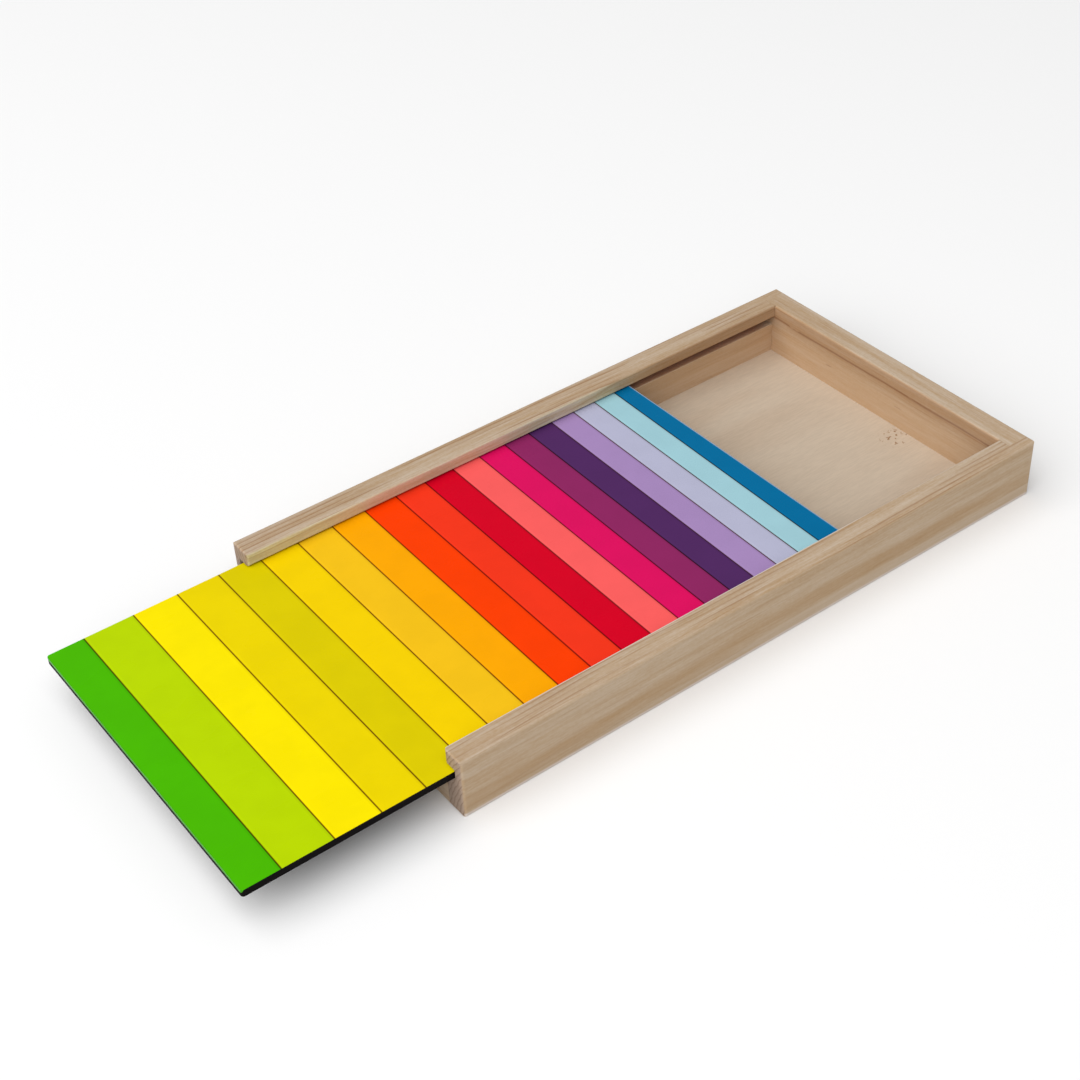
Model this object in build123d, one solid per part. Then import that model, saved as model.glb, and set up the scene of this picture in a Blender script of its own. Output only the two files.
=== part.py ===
from build123d import *
import os

# A flat slide-top pencil box in pine. Millimetres.
# Origin: the middle of the box's underside. +X runs to the rear end board, and the lid slides out
# towards -X. +Y runs to the left rail. +Z is up.

# ---- the box ---------------------------------------------------------------------------------
box_length = 190.6
box_width = 103.4
box_height = 17.7

# ---- the rail moulding -----------------------------------------------------------------------
right_lip_width = 6.9         # top of a rail, out over the lid
left_lip_width = 7.3          # this rail is dressed down a little less than the other
lip_overhang = 0.9            # from the lip's edge back to the wall below the groove
groove_depth = 4.5            # from the lip's edge back to the bottom of the groove
lip_thickness = 3.8
top_outer_radius = 0.8
top_inner_radius = 0.7
bottom_outer_radius = 0.4
groove_edge_radius = 0.3      # the two sharp edges where the groove opens

# ---- the rail ends ---------------------------------------------------------------------------
front_outer_radius = 1.0      # upright corner of a rail at the open end
rear_outer_radius = 1.0
front_top_radius = 0.6        # top edge of the open end, seen from the side
right_lip_corner_radius = 1.8 # where the lip stops over the lid, eased by hand
left_lip_corner_radius = 0.9

# ---- the end boards --------------------------------------------------------------------------
rear_board_thickness = 7.0
front_board_thickness = 6.9
corner_tongue = 3.2           # rail wood standing outside the rear board's end grain
shoulder_gap = 0.06           # the rear rabbet is a hair longer than the board is thick
rear_top_radius = 0.5
rear_inner_radius = 0.7       # top edge over the tray, between the lips
front_board_top_radius = 0.5
end_bottom_radius = 0.4

# ---- the floor -------------------------------------------------------------------------------
panel_thickness = 1.6
panel_side_inset = 3.0        # from the box's faces in to the floor's edge
panel_end_inset = 3.9
panel_corner_radius = 4.0
panel_edge_gap = 0.15

# ---- the lid ---------------------------------------------------------------------------------
lid_thickness = 2.35
lid_gap_below = 0.15
lid_gap_above = 0.5
lid_gap_right = 0.25          # the lid lies over to the right in its grooves
lid_gap_left = 1.7
lid_end_gap = 0.1             # left at the rear board when the lid is shut
lid_corner_radius = 0.8
lid_edge_bevel = 0.12
lid_opening = 55.9            # how far the lid is drawn out at rest

# ---- places that follow from the sizes -------------------------------------------------------
front_x = -box_length / 2
rear_x = box_length / 2
side_y = box_width / 2
rear_board_inner_x = rear_x - rear_board_thickness
front_board_inner_x = front_x + front_board_thickness
groove_height = lid_gap_below + lid_thickness + lid_gap_above
groove_ceiling_z = box_height - lip_thickness
groove_floor_z = groove_ceiling_z - groove_height
right_groove_y = -side_y + right_lip_width - groove_depth
left_groove_y = side_y - left_lip_width + groove_depth
right_wall_y = -side_y + right_lip_width - lip_overhang
left_wall_y = side_y - left_lip_width + lip_overhang

cut_margin = 1.0              # how far a cutter runs past the wood

to_front = (-1, 0, 0)
to_rear = (1, 0, 0)
to_right = (0, -1, 0)
to_left = (0, 1, 0)
to_underside = (0, 0, -1)
to_top = (0, 0, 1)


# ---- shared shapes ---------------------------------------------------------------------------
def corner_at(outline, across, height):
    """The vertex of an outline that lies nearest to a point."""
    return outline.vertices().sort_by_distance(Vector(across, height, 0))[0]


def block(x_low, x_high, y_low, y_high, z_low, z_high, corner_radius=0.0):
    """A plate or block between the given faces, its upright corners rounded if asked."""
    length = x_high - x_low
    width = y_high - y_low
    if corner_radius > 0:
        outline = RectangleRounded(length, width, corner_radius)
    else:
        outline = Rectangle(length, width)
    place = Pos((x_low + x_high) / 2, (y_low + y_high) / 2, z_low)
    return place * extrude(outline, z_high - z_low)


def edge_waste(radius, start, wood_side, along, length):
    """Cutter that rounds a straight edge, from a point on it. The wood lies on the named side of the
    edge and, looking along the edge, a quarter turn clockwise from there."""
    side = radius + cut_margin
    square = Pos(radius - side / 2, radius - side / 2) * Rectangle(side, side)
    waste = square - Pos(radius, radius) * Circle(radius)
    return extrude(Plane(origin=start, x_dir=wood_side, z_dir=along) * waste, length)


# ---- rails -----------------------------------------------------------------------------------
def rail_section(lip_width):
    """The moulding: a wall with a groove for the lid and a lip over it. X is across, Y is up."""
    wall_width = lip_width - lip_overhang
    web_width = lip_width - groove_depth
    corners = [
        (0, 0),
        (wall_width, 0),
        (wall_width, groove_floor_z),
        (web_width, groove_floor_z),
        (web_width, groove_ceiling_z),
        (lip_width, groove_ceiling_z),
        (lip_width, box_height),
        (0, box_height),
    ]
    outline = make_face(Polyline(*corners, close=True))
    rounded = [
        (0, 0, bottom_outer_radius),
        (0, box_height, top_outer_radius),
        (lip_width, box_height, top_inner_radius),
        (lip_width, groove_ceiling_z, groove_edge_radius),
        (wall_width, groove_floor_z, groove_edge_radius),
    ]
    for across, height, radius in rounded:
        outline = fillet(corner_at(outline, across, height), radius)
    return outline


def rail(lip_width, lip_corner_radius):
    """A rail as it stands on the right: moulding, rear rabbet for the end board, ledge for the floor."""
    across_plane = Plane(origin=(front_x, -side_y, 0), x_dir=(0, 1, 0), z_dir=(1, 0, 0))
    moulding = extrude(across_plane * rail_section(lip_width), box_length)
    lip_y = -side_y + lip_width
    rear_rabbet = block(
        rear_board_inner_x - shoulder_gap,
        rear_x + cut_margin,
        -side_y + corner_tongue,
        lip_y + cut_margin,
        -cut_margin,
        box_height + cut_margin,
    )
    blank = moulding - rear_rabbet

    outer_y = -side_y - cut_margin
    across = lip_width + 2 * cut_margin
    upright = box_height + 2 * cut_margin
    lip_z = groove_ceiling_z - groove_height / 2
    eased_edges = [
        (front_top_radius, (front_x, outer_y, box_height), to_rear, to_left, across),
        (end_bottom_radius, (front_x, outer_y, 0), to_top, to_left, across),
        (rear_top_radius, (rear_x, outer_y, box_height), to_underside, to_left, across),
        (end_bottom_radius, (rear_x, outer_y, 0), to_front, to_left, across),
        (front_outer_radius, (front_x, -side_y, -cut_margin), to_rear, to_top, upright),
        (rear_outer_radius, (rear_x, -side_y, -cut_margin), to_left, to_top, upright),
        (lip_corner_radius, (front_x, lip_y, lip_z), to_right, to_top, upright),
    ]
    for radius, start, wood_side, along, length in eased_edges:
        blank = blank - edge_waste(radius, start, wood_side, along, length)
    return blank - panel_plate(panel_edge_gap)


# ---- floor -----------------------------------------------------------------------------------
def panel_plate(edge_gap):
    """The floor's outline, grown by a gap on every side, from the underside up to its top face."""
    return block(
        front_x + panel_end_inset - edge_gap,
        rear_x - panel_end_inset + edge_gap,
        -side_y + panel_side_inset - edge_gap,
        side_y - panel_side_inset + edge_gap,
        0,
        panel_thickness,
        panel_corner_radius + edge_gap,
    )


# ---- end boards ------------------------------------------------------------------------------
def end_board(inner_x, outer_x, height, top_radius, y_low, y_high):
    """An end board, its two outer edges eased, with the ledge for the floor."""
    corners = [(inner_x, 0), (outer_x, 0), (outer_x, height), (inner_x, height)]
    outline = make_face(Polyline(*corners, close=True))
    outline = fillet(corner_at(outline, outer_x, height), top_radius)
    outline = fillet(corner_at(outline, outer_x, 0), end_bottom_radius)
    along_plane = Plane(origin=(0, y_high, 0), x_dir=(1, 0, 0), z_dir=(0, -1, 0))
    return extrude(along_plane * outline, y_high - y_low) - panel_plate(panel_edge_gap)


def rear_board():
    """Full height, its ends seated in the rails' rear rabbets, its top edge rounded between the lips."""
    end_y = side_y - corner_tongue
    board = end_board(rear_board_inner_x, rear_x, box_height, rear_top_radius, -end_y, end_y)
    start = (rear_board_inner_x, -side_y + right_lip_width, box_height)
    between_lips = box_width - right_lip_width - left_lip_width
    return board - edge_waste(rear_inner_radius, start, to_rear, to_left, between_lips)


def front_board():
    """Stands between the rails, as high as the groove's floor, so that the lid passes over it."""
    return end_board(
        front_board_inner_x,
        front_x,
        groove_floor_z,
        front_board_top_radius,
        right_wall_y,
        left_wall_y,
    )


# ---- lid -------------------------------------------------------------------------------------
def sliding_lid():
    """A thin board running in both grooves, drawn out towards the front."""
    underside_z = groove_floor_z + lid_gap_below
    lid = block(
        front_x - lid_opening,
        rear_board_inner_x - lid_end_gap - lid_opening,
        right_groove_y + lid_gap_right,
        left_groove_y - lid_gap_left,
        underside_z,
        underside_z + lid_thickness,
        lid_corner_radius,
    )
    flat_edges = lid.edges().group_by(Axis.Z)[0] + lid.edges().group_by(Axis.Z)[-1]
    return chamfer(flat_edges, lid_edge_bevel)


# ---- the assembly ----------------------------------------------------------------------------
pieces = {
    "right_rail": rail(right_lip_width, right_lip_corner_radius),
    "left_rail": mirror(rail(left_lip_width, left_lip_corner_radius), about=Plane.XZ),
    "rear_board": rear_board(),
    "front_board": front_board(),
    "bottom_panel": panel_plate(0),
    "sliding_lid": sliding_lid(),
}

os.makedirs("parts", exist_ok=True)
for name, piece in pieces.items():
    export_step(piece, f"parts/{name}.step")
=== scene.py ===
import math
import bpy
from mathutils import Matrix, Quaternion, Vector


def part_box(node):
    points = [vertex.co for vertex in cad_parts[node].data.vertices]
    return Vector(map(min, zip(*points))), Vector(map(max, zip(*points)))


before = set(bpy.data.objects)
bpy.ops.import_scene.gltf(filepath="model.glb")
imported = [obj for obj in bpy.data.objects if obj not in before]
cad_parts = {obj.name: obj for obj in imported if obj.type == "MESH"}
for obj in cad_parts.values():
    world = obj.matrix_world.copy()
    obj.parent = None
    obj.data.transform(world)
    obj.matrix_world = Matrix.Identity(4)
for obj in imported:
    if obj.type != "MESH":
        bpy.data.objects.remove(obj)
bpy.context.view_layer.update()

# A slide-top pencil box in bare pine, with a glossy striped lid drawn part of the way out.
# The camera, the lights and the stage are in metres. What the materials use is in millimetres.

millimetre = 0.001

# ---- camera ----------------------------------------------------------------------------------
camera_place = Vector((-0.249485, -0.308409, 0.324696))
camera_aim = Vector((-0.02649, 0.01026, 0.00820))
camera_roll = math.radians(-3.10)
camera_lens_mm = 62.91
camera_sensor_mm = 36

# ---- light -----------------------------------------------------------------------------------
studio_light = 1.09           # how bright a white card lying on the box would be
world_light = 0.30
softbox_size = 4.0
softbox_place = Vector((-1.35, -0.34, 2.00))
softbox_power = 102.0

# ---- floor under the box ---------------------------------------------------------------------
floor_size = 8.0
floor_drop = 0.00002          # how far it lies below the box, so that the two faces don't fight
floor_grey = 0.93


# ---- places read from the frame, in millimetres ----------------------------------------------
def box_mm(node_name):
    """The lowest and the highest corner of a CAD piece."""
    low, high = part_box(node_name)
    return low / millimetre, high / millimetre


lid_low, lid_high = box_mm("sliding_lid")
rail_low, rail_high = box_mm("right_rail")
front_board_low, front_board_high = box_mm("front_board")

lip_thickness = 3.8
groove_low = front_board_high.z               # the lid passes over the front board
groove_high = rail_high.z - lip_thickness
wall_right = front_board_low.y                # the front board stands between the rails' walls
wall_left = front_board_high.y
groove_reach = 4.0                            # from a wall to just past the bottom of its groove


# ---- colours ---------------------------------------------------------------------------------
def seen(hex_colour):
    """The surface colour, as linear RGBA, that looks like an sRGB colour in the studio light."""
    levels = [int(hex_colour[start:start + 2], 16) / 255 for start in (0, 2, 4)]
    linear = [level / 12.92 if level <= 0.04045 else ((level + 0.055) / 1.055) ** 2.4 for level in levels]
    return tuple(level / studio_light for level in linear) + (1.0,)


pine_pale, pine_warm = "ccbaa5", "b08f68"
pine_year_line = "946a44"
pine_end_pale, pine_end_dark = "ae9785", "7a6250"
# painted shade for the recess of the lid's grooves
groove_painted_shade = "a9592d"
# painted light for the tray's inner wall
tray_wall_painted_light = "dab28a"
# the last of these is a painted highlight for the rail's rounded bottom edge
rail_calm, rail_band_warm, rail_foot_pale, rail_bottom_highlight = "bea584", "a9824f", "cdbba6", "e2d8d2"
# painted highlight for the lip's top inner edge
lip_edge_highlight = "f4eee8"
# the first two are painted shade above and painted light below; the dark year line is the wood's own
rear_upper_painted_shade, rear_lower_painted_light, rear_line_dark = "ba8b60", "d4ac84", "7d4c30"
veneer_pale, veneer_warm = "cab8a3", "c5b19b"
veneer_speck = "8a6038"
lid_core_black = "0a0606"
lid_border_pale = "dfe4ea"


# ---- node helper -----------------------------------------------------------------------------
class Graph:
    """A material's node tree. Each method adds a node and returns its output.
    What it is given may be the output of another node or a plain value."""

    def __init__(self, name):
        self.material = bpy.data.materials.new(name)
        self.material.use_nodes = True
        self.tree = self.material.node_tree
        self.shader = self.tree.nodes["Principled BSDF"]

    def add(self, kind):
        return self.tree.nodes.new(kind)

    def put(self, value, socket):
        if isinstance(value, bpy.types.NodeSocket):
            self.tree.links.new(value, socket)
        else:
            socket.default_value = value

    def math(self, operation, a, b=0.0):
        node = self.add("ShaderNodeMath")
        node.operation = operation
        for value, socket in zip((a, b), node.inputs):
            self.put(value, socket)
        return node.outputs[0]

    def plus(self, a, b):
        return self.math("ADD", a, b)

    def minus(self, a, b):
        return self.math("SUBTRACT", a, b)

    def times(self, a, b):
        return self.math("MULTIPLY", a, b)

    def distance(self, a, b, centre):
        """How far the point a, b lies from a centre."""
        from_a = self.math("POWER", self.minus(a, centre[0]), 2)
        from_b = self.math("POWER", self.minus(b, centre[1]), 2)
        return self.math("SQRT", self.plus(from_a, from_b))

    def split(self, vector):
        node = self.add("ShaderNodeSeparateXYZ")
        self.put(vector, node.inputs[0])
        return node.outputs[0], node.outputs[1], node.outputs[2]

    def join(self, x, y, z):
        node = self.add("ShaderNodeCombineXYZ")
        for value, socket in zip((x, y, z), node.inputs):
            self.put(value, socket)
        return node.outputs[0]

    def place_mm(self):
        """The point on the piece, in millimetres, in the frame's own axes."""
        node = self.add("ShaderNodeVectorMath")
        node.operation = "SCALE"
        self.put(self.add("ShaderNodeTexCoord").outputs["Object"], node.inputs[0])
        node.inputs["Scale"].default_value = 1 / millimetre
        return self.split(node.outputs[0])

    def facing(self):
        """The way the surface faces, in the frame's own axes."""
        return self.split(self.add("ShaderNodeTexCoord").outputs["Normal"])

    def noise(self, x, y, z, detail=2.0, roughness=0.5):
        """Cloudy noise around 0.5, with features about one unit across."""
        node = self.add("ShaderNodeTexNoise")
        self.put(self.join(x, y, z), node.inputs["Vector"])
        self.put(1.0, node.inputs["Scale"])
        self.put(detail, node.inputs["Detail"])
        self.put(roughness, node.inputs["Roughness"])
        return node.outputs["Fac"]

    def step(self, value, start, end, low=0.0, high=1.0):
        """Goes smoothly from low to high as the value goes from start to end."""
        node = self.add("ShaderNodeMapRange")
        node.interpolation_type = "SMOOTHSTEP"
        keys = ("Value", "From Min", "From Max", "To Min", "To Max")
        for key, number in zip(keys, (value, start, end, low, high)):
            self.put(number, node.inputs[key])
        return node.outputs["Result"]

    def between(self, value, low, high, soft=0.1):
        """A mask, 1 where the value is between two limits."""
        above = self.step(value, low - soft, low + soft)
        return self.times(above, self.step(value, high + soft, high - soft))

    def ramp(self, value, stops):
        """A colour ramp. Each stop is a place from 0 to 1 and a colour or grey level."""
        node = self.add("ShaderNodeValToRGB")
        self.put(value, node.inputs[0])
        elements = node.color_ramp.elements
        elements.remove(elements[1])
        for number, (place, level) in enumerate(stops):
            element = elements[0] if number == 0 else elements.new(place)
            element.position = place
            colour = level if isinstance(level, tuple) else (level, level, level)
            element.color = colour + (1.0,)
        return node.outputs["Color"]

    def mix(self, factor, a, b, mode="MIX"):
        node = self.add("ShaderNodeMix")
        node.data_type = "RGBA"
        node.blend_type = mode
        inputs = {socket.identifier: socket for socket in node.inputs}
        outputs = {socket.identifier: socket for socket in node.outputs}
        self.put(factor, inputs["Factor_Float"])
        self.put(a, inputs["A_Color"])
        self.put(b, inputs["B_Color"])
        return outputs["Result_Color"]

    def multiply(self, a, b):
        """Two colours multiplied."""
        return self.mix(1.0, a, b, "MULTIPLY")

    def shade(self, colour, level):
        """The colour made lighter or darker by a level around 1."""
        return self.multiply(colour, self.join(level, level, level))

    def bump(self, height, depth_mm):
        node = self.add("ShaderNodeBump")
        self.put(height, node.inputs["Height"])
        node.inputs["Distance"].default_value = depth_mm * millimetre
        self.tree.links.new(node.outputs[0], self.shader.inputs["Normal"])

    def surface(self, colour, roughness, specular):
        """Sets the shader, and returns the finished material."""
        self.put(colour, self.shader.inputs["Base Color"])
        self.put(roughness, self.shader.inputs["Roughness"])
        self.shader.inputs["Specular IOR Level"].default_value = specular
        return self.material


# ---- pine ------------------------------------------------------------------------------------
class Pine(Graph):
    """Bare planed pine, cut from a log whose grain runs along X or Y."""

    def __init__(self, name, grain_axis, pith, ring_mm, top_lines, side_lines, seed):
        """pith is where the rings' centre lies, across and up. The strengths top_lines and side_lines say
        how clearly the year lines show on the top and on the sides."""
        super().__init__(name)
        self.x, self.y, self.z = self.place_mm()
        turned = grain_axis == "Y"
        self.along = self.plus(self.y if turned else self.x, seed * 13.0)
        self.across = self.x if turned else self.y
        self.facing_x, self.facing_y, self.facing_z = self.facing()
        end_facing = self.math("ABSOLUTE", self.facing_y if turned else self.facing_x)
        self.end_amount = self.step(end_facing, 0.5, 0.95)
        self.fibre = self.stretched(9.0, 0.38, 23, 3.0, 0.6)
        rings = self.late_wood(pith, ring_mm)
        line_strength = self.step(self.facing_z, 0.3, 0.9, side_lines, top_lines)
        face = self.long_grain(rings, line_strength)
        self.colour = self.mix(self.end_amount, face, self.end_grain(rings))

    def stretched(self, along_mm, across_mm, shift, detail=2.0, roughness=0.5):
        """Noise with features drawn out along the grain. Each shift gives another pattern."""
        along = self.math("DIVIDE", self.plus(self.along, shift), along_mm)
        across = self.math("DIVIDE", self.plus(self.across, shift), across_mm)
        up = self.math("DIVIDE", self.plus(self.z, shift), across_mm)
        return self.noise(along, across, up, detail, roughness)

    def late_wood(self, pith, ring_mm):
        """The thin dark line that closes each year's ring, from 0 to 1."""
        bend = self.times(self.minus(self.stretched(120, 40, 3, 1.0), 0.5), 6.0)
        radius = self.plus(self.distance(self.across, self.z, pith), bend)
        ripple = self.times(self.stretched(40, 3, 7), 0.8)
        phase = self.math("FRACT", self.plus(self.math("DIVIDE", radius, ring_mm), ripple))
        return self.ramp(phase, [(0.0, 0.0), (0.45, 0.08), (0.72, 0.4), (0.84, 1.0), (0.92, 0.1)])

    def long_grain(self, rings, line_strength):
        """The wood's colour along its grain: pale and warm streaks, then year lines that come and go."""
        broad = self.times(self.step(self.stretched(70, 2.6, 29), 0.34, 0.66), 0.38)
        fine = self.times(self.step(self.fibre, 0.25, 0.75), 0.42)
        grit = self.times(self.step(self.stretched(0.9, 0.45, 37, 1.0), 0.25, 0.75), 0.20)
        warmth = self.plus(self.plus(broad, fine), grit)
        face = self.mix(warmth, seen(pine_pale), seen(pine_warm))

        shown = self.step(self.stretched(48, 4.0, 11), 0.42, 0.60)
        streaks = self.step(self.stretched(28, 0.34, 17, 1.0), 0.67, 0.76)
        year_lines = self.times(self.times(rings, shown), line_strength)
        lines = self.plus(year_lines, self.times(streaks, 0.55))
        return self.mix(self.math("MINIMUM", lines, 0.75), face, seen(pine_year_line))

    def end_grain(self, rings):
        """The wood's colour where it is cut across: greyer, with pores and clear rings."""
        scaled = [self.times(axis, 4.0) for axis in (self.x, self.y, self.z)]
        pores = self.noise(*scaled, 3.0)
        tone = self.plus(self.times(rings, 0.9), self.step(pores, 0.3, 0.7, -0.15, 0.3))
        return self.mix(tone, seen(pine_end_pale), seen(pine_end_dark))

    def tint(self, mask, hex_colour, amount):
        """Draws the wood's colour towards another one where the mask is 1."""
        self.colour = self.mix(self.times(mask, amount), self.colour, seen(hex_colour))

    def paint_light_and_shade(self, mask, red, green, blue):
        """Multiplies the wood's colour where the mask is 1, and keeps its figure. Used for painted light
        and shade.
        """
        stained = self.multiply(self.colour, self.join(red, green, blue))
        self.colour = self.mix(mask, self.colour, stained)

    def paint_groove_shade(self, y_low, y_high):
        """Painted shade in the lid's groove, a dark warm brown, left off at the ends where light reaches
        in.
        """
        away_from_ends = self.between(self.x, rail_low.x + 7.0, rail_high.x - 10.0, 4.0)
        inside = self.between(self.y, y_low, y_high)
        mask = self.times(inside, self.between(self.z, groove_low, groove_high, 0.05))
        self.tint(self.times(mask, away_from_ends), groove_painted_shade, 0.9)

    def finished(self):
        roughness = self.step(self.fibre, 0.3, 0.7, 0.60, 0.72)
        roughness = self.plus(roughness, self.times(self.end_amount, 0.1))
        self.bump(self.fibre, 0.03)
        return self.surface(self.colour, roughness, 0.25)


def right_rail_pine():
    """The near rail. Its outer side has a calmer figure, with a band of paler wood along the foot that
    widens to the rear. The lip's edge has a painted pale highlight, and so has the rounded bottom edge."""
    wood = Pine("pine_right_rail", "X", (-115.0, -25.0), 1.2, 0.85, 0.25, 1)
    outside = wood.step(wood.facing_y, -0.5, -0.9)
    wood.tint(outside, rail_calm, 0.28)

    widening = wood.times(wood.step(wood.x, rail_low.x + 20.0, rail_low.x + 130.0), 2.8)
    wobble = wood.times(wood.minus(wood.stretched(22, 8, 31), 0.5), 1.5)
    band_top = wood.plus(wood.plus(widening, 1.3), wobble)
    height_over_band = wood.minus(wood.z, band_top)
    over_band = wood.between(height_over_band, 0.2, 5.0, 1.5)
    wood.tint(wood.times(over_band, outside), rail_band_warm, 0.28)
    in_band = wood.step(height_over_band, 0.2, -0.3)
    wood.tint(wood.times(in_band, outside), rail_foot_pale, 0.35)
    # Painted highlight: bounce light along the rounded bottom edge of the outer side.
    bottom_edge_highlight = wood.step(wood.z, 1.1, 0.7)
    wood.tint(wood.times(bottom_edge_highlight, outside), rail_bottom_highlight, 0.75)

    # Painted highlight along the lip's top inner edge, stronger towards the front.
    highlight_width = 0.6
    by_lip_side = wood.between(wood.y, rail_high.y - highlight_width, rail_high.y + highlight_width)
    by_lip_top = wood.between(wood.z, rail_high.z - highlight_width, rail_high.z + highlight_width)
    highlight_strength = wood.step(wood.x, 45.0, 25.0, 0.15, 0.6)
    wood.tint(wood.times(wood.times(by_lip_side, by_lip_top), highlight_strength), lip_edge_highlight, 1.0)
    wood.paint_groove_shade(wall_right - groove_reach, wall_right - 0.2)
    return wood.finished()


def left_rail_pine():
    """The far rail. The lip's inner face has painted light towards the front and painted shade, warmer,
    towards the rear.
    Painted light makes the wall under the groove lighter."""
    wood = Pine("pine_left_rail", "X", (120.0, -12.0), 1.5, 1.0, 0.5, 4)
    inward = wood.step(wood.facing_y, -0.5, -0.9)
    lip = wood.times(inward, wood.step(wood.z, groove_low, groove_high))
    towards_front = wood.step(wood.x, 50.0, 10.0)
    towards_rear = wood.step(wood.x, 10.0, 50.0)
    # Painted light on the lip's inner face towards the front, painted shade towards the rear.
    wood.paint_light_and_shade(wood.times(lip, towards_front), 1.28, 1.50, 1.53)
    wood.paint_light_and_shade(wood.times(lip, towards_rear), 0.97, 0.84, 0.71)
    # Painted light on the inner wall under the groove.
    wood.tint(wood.times(inward, wood.step(wood.z, groove_high, groove_low)), tray_wall_painted_light, 0.5)
    wood.paint_groove_shade(wall_left + 0.2, wall_left + groove_reach)
    return wood.finished()


def rear_board_pine():
    """One dark year line runs the whole width near the top, with dashes of another below it."""
    wood = Pine("pine_rear_board", "Y", (60.0, -30.0), 2.1, 0.2, 0.4, 7)
    inward = wood.step(wood.facing_x, -0.5, -0.9)
    # Painted shade on the upper inner face, painted light on the lower part.
    wood.tint(wood.times(inward, wood.step(wood.z, 9.0, 14.0)), rear_upper_painted_shade, 0.5)
    wood.tint(wood.times(inward, wood.step(wood.z, 14.0, 9.0)), rear_lower_painted_light, 0.55)
    for height, half_width, broken_from in ((13.8, 0.6, 0.30), (8.3, 0.35, 0.56)):
        waver = wood.times(wood.minus(wood.stretched(30, 9, height), 0.5), 1.5)
        from_line = wood.math("ABSOLUTE", wood.minus(wood.plus(wood.z, waver), height))
        line = wood.step(from_line, half_width, 0.0)
        dashes = wood.step(wood.stretched(7, 3, 2 * height), broken_from, broken_from + 0.12)
        wood.tint(wood.times(wood.times(line, dashes), inward), rear_line_dark, 0.55)
    return wood.finished()


def front_board_pine():
    return Pine("pine_front_board", "Y", (-120.0, 20.0), 1.6, 0.5, 0.5, 9).finished()


# ---- floor veneer ----------------------------------------------------------------------------
speck_place = (84.5, -10.5)   # a cluster of brown specks beside the rear board


def veneer():
    """The thin plywood floor: pale and short-grained, with a few brown specks."""
    ply = Graph("plywood_floor")
    x, y, z = ply.place_mm()
    flecks = ply.noise(ply.times(x, 0.25), ply.times(y, 2.4), z, 3.0, 0.6)
    clouds = ply.noise(ply.times(x, 0.016), ply.times(y, 0.07), z, 2.0)
    colour = ply.mix(ply.step(clouds, 0.35, 0.65), seen(veneer_pale), seen(veneer_warm))
    colour = ply.shade(colour, ply.step(flecks, 0.3, 0.7, 0.95, 1.04))
    specks = ply.noise(ply.times(x, 0.9), ply.times(y, 0.9), z, 2.0)
    in_cluster = ply.step(ply.distance(x, y, speck_place), 6.5, 2.5)
    speckled = ply.times(ply.step(specks, 0.60, 0.66), in_cluster)
    colour = ply.mix(ply.times(speckled, 0.8), colour, seen(veneer_speck))
    ply.bump(flecks, 0.02)
    return ply.surface(colour, 0.7, 0.2)


# ---- lid print -------------------------------------------------------------------------------
stripe_colours = [
    "4bba01", "bbda01", "fee900", "efd701", "dfcd01", "f8d301", "f8c418", "ffaa01", "ff4001", "f8381c",
    "d80124", "fe6160", "e01060", "902862", "522b62", "a88abe", "b8b9d2", "a2ced8", "026d9f",
]
first_joint = 10.05           # the first plank is cut short by the lid's edge
second_joint = 23.8
next_plank = 13.24            # the planks are drawn in perspective, each narrower than the last
perspective = 0.0207
fan_angle = math.radians(1.05)
joint_line = (0.20, 0.10, 0.08)
joint_profile = [             # across 2 mm: a dark line between two planks, and a light edge after it
    (0.0, 1.0), (0.10, 1.0), (0.42, 0.84), (0.46, joint_line), (0.58, joint_line),
    (0.64, 0.95), (0.75, 1.04), (0.88, 1.04), (1.0, 1.0),
]
rear_border = 0.4             # unprinted edge at the rear
print_on_sides = 0.14         # how far down the print reaches, over the bevel
print_on_front = 1.0


def joints():
    """Where each plank of the print meets the next, from the lid's front edge."""
    places = [first_joint]
    for number in range(len(stripe_colours) - 2):
        places.append((second_joint + next_plank * number) / (1 + perspective * number))
    return places


def planks(lid, run):
    """The print: planks of flat colour. run is the distance from the lid's front edge."""
    colour = seen(stripe_colours[0])
    lines = (1.0, 1.0, 1.0, 1.0)
    for joint, hex_colour in zip(joints(), stripe_colours[1:]):
        offset = lid.minus(run, joint)
        colour = lid.mix(lid.step(offset, -0.05, 0.05), colour, seen(hex_colour))
        line = lid.ramp(lid.times(lid.plus(offset, 1.0), 0.5), joint_profile)
        lines = lid.multiply(lines, line)
    return lid.multiply(colour, lines)


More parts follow.
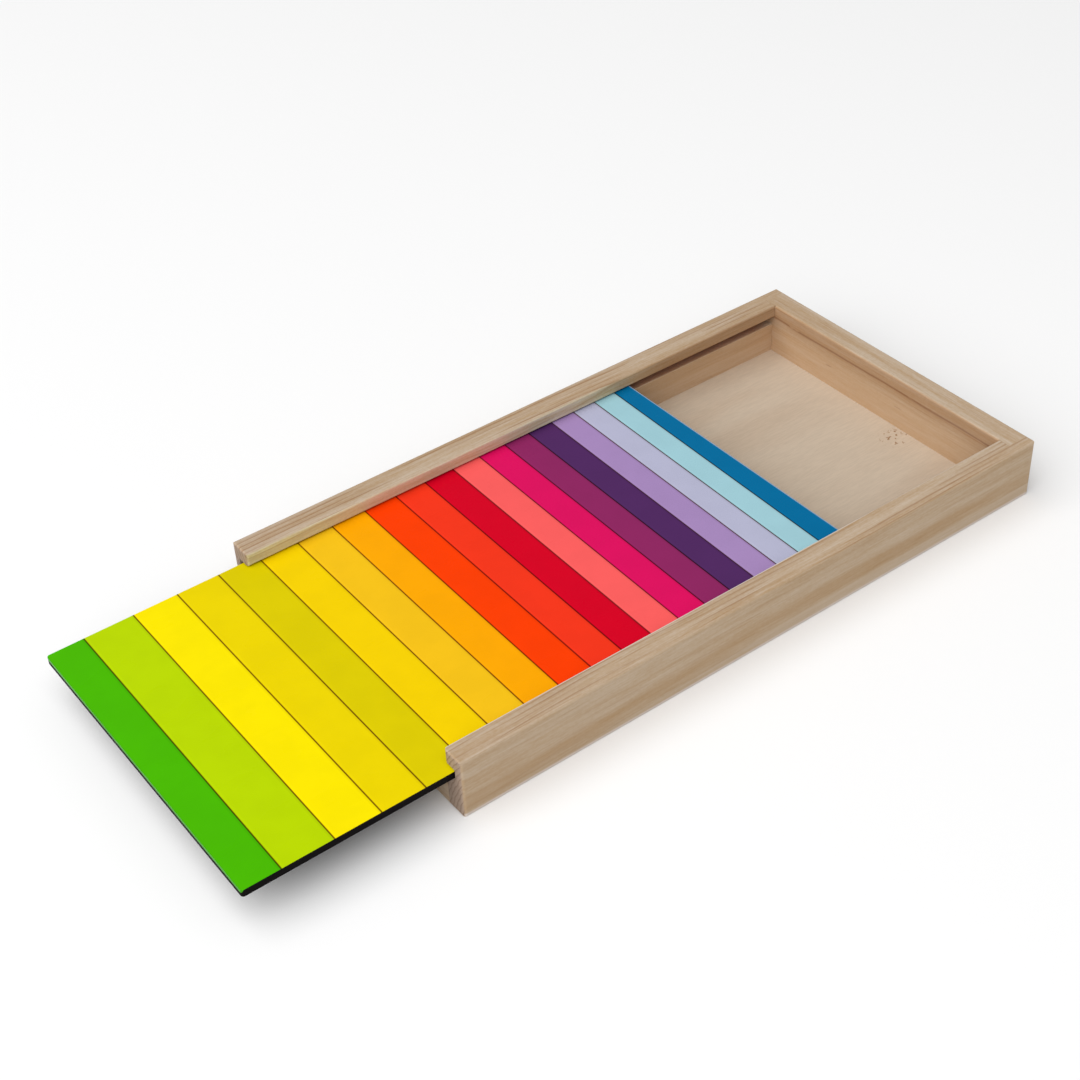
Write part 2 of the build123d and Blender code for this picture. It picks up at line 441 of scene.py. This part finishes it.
def striped_lid():
    """Glossy print on black-edged fibreboard. The print laps over the front edge."""
    lid = Graph("printed_fibreboard")
    x, y, z = lid.place_mm()
    faces_x = lid.facing()[0]

    run = lid.minus(x, lid_low.x)
    side = lid.minus(y, (lid_low.y + lid_high.y) / 2)
    slant = lid.times(run, math.tan(fan_angle) / (lid_high.x - lid_low.x))
    colour = planks(lid, lid.minus(run, lid.times(side, slant)))
    mottle = lid.noise(lid.times(x, 0.12), lid.times(y, 0.12), z, 3.0)
    colour = lid.shade(colour, lid.step(mottle, 0.3, 0.7, 0.98, 1.02))
    border = lid.step(x, lid_high.x - rear_border - 0.05, lid_high.x - rear_border + 0.05)
    colour = lid.mix(lid.times(border, 0.35), colour, seen(lid_border_pale))
    # Painted shade: the print is darker where it faces the front, against the bevel's highlight.
    colour = lid.shade(colour, lid.step(faces_x, -0.2, -0.8, 1.0, 0.7))

    reach_down = lid.step(faces_x, -0.1, -0.95, print_on_sides, print_on_front)
    printed = lid.math("GREATER_THAN", lid.plus(z, reach_down), lid_high.z)
    colour = lid.mix(printed, seen(lid_core_black), colour)

    smudges = lid.noise(lid.times(x, 0.05), lid.times(y, 0.09), z, 3.0, 0.6)
    print_roughness = lid.step(smudges, 0.35, 0.7, 0.26, 0.36)
    roughness = lid.minus(lid.plus(print_roughness, 0.3), lid.times(printed, 0.3))
    scaled = [lid.times(axis, 0.4) for axis in (x, y, z)]
    lid.bump(lid.noise(*scaled, 1.0), 0.004)
    return lid.surface(colour, roughness, 0.05)


# ---- each piece gets its material ------------------------------------------------------------
def dress(node_name, material):
    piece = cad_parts[node_name]
    piece.data.materials.clear()
    piece.data.materials.append(material)


dress("right_rail", right_rail_pine())
dress("left_rail", left_rail_pine())
dress("rear_board", rear_board_pine())
dress("front_board", front_board_pine())
dress("bottom_panel", veneer())
dress("sliding_lid", striped_lid())


# ---- stage -----------------------------------------------------------------------------------
def link(name, data):
    thing = bpy.data.objects.new(name, data)
    bpy.context.scene.collection.objects.link(thing)
    return thing


def turn(thing, rotation):
    thing.rotation_mode = "QUATERNION"
    thing.rotation_quaternion = rotation


def floor():
    """A wide pale floor just under the box."""
    half = floor_size / 2
    corners = [(-half, -half, 0), (half, -half, 0), (half, half, 0), (-half, half, 0)]
    mesh = bpy.data.meshes.new("floor")
    mesh.from_pydata(corners, [], [(0, 1, 2, 3)])
    thing = link("floor", mesh)
    thing.location.z = -floor_drop
    paper = Graph("floor_paper")
    mesh.materials.append(paper.surface((floor_grey, floor_grey, floor_grey, 1.0), 0.9, 0.0))


def lighting():
    """An even white room and one large softbox overhead, a little towards the camera."""
    room = bpy.data.worlds.new("studio")
    bpy.context.scene.world = room
    room.use_nodes = True
    background = room.node_tree.nodes["Background"]
    background.inputs["Color"].default_value = (1.0, 1.0, 1.0, 1.0)
    background.inputs["Strength"].default_value = world_light
    lamp = bpy.data.lights.new("softbox", "AREA")
    lamp.size = softbox_size
    lamp.energy = softbox_power
    thing = link("softbox", lamp)
    thing.location = softbox_place
    turn(thing, (-softbox_place).to_track_quat("-Z", "Y"))


def camera():
    lens = bpy.data.cameras.new("camera")
    lens.sensor_width = camera_sensor_mm
    lens.lens = camera_lens_mm
    lens.clip_start = 0.01
    thing = link("camera", lens)
    thing.location = camera_place
    look = (camera_aim - camera_place).to_track_quat("-Z", "Y")
    turn(thing, look @ Quaternion((0, 0, 1), camera_roll))
    bpy.context.scene.camera = thing


floor()
lighting()
camera()
bpy.context.scene.view_settings.view_transform = "Standard"
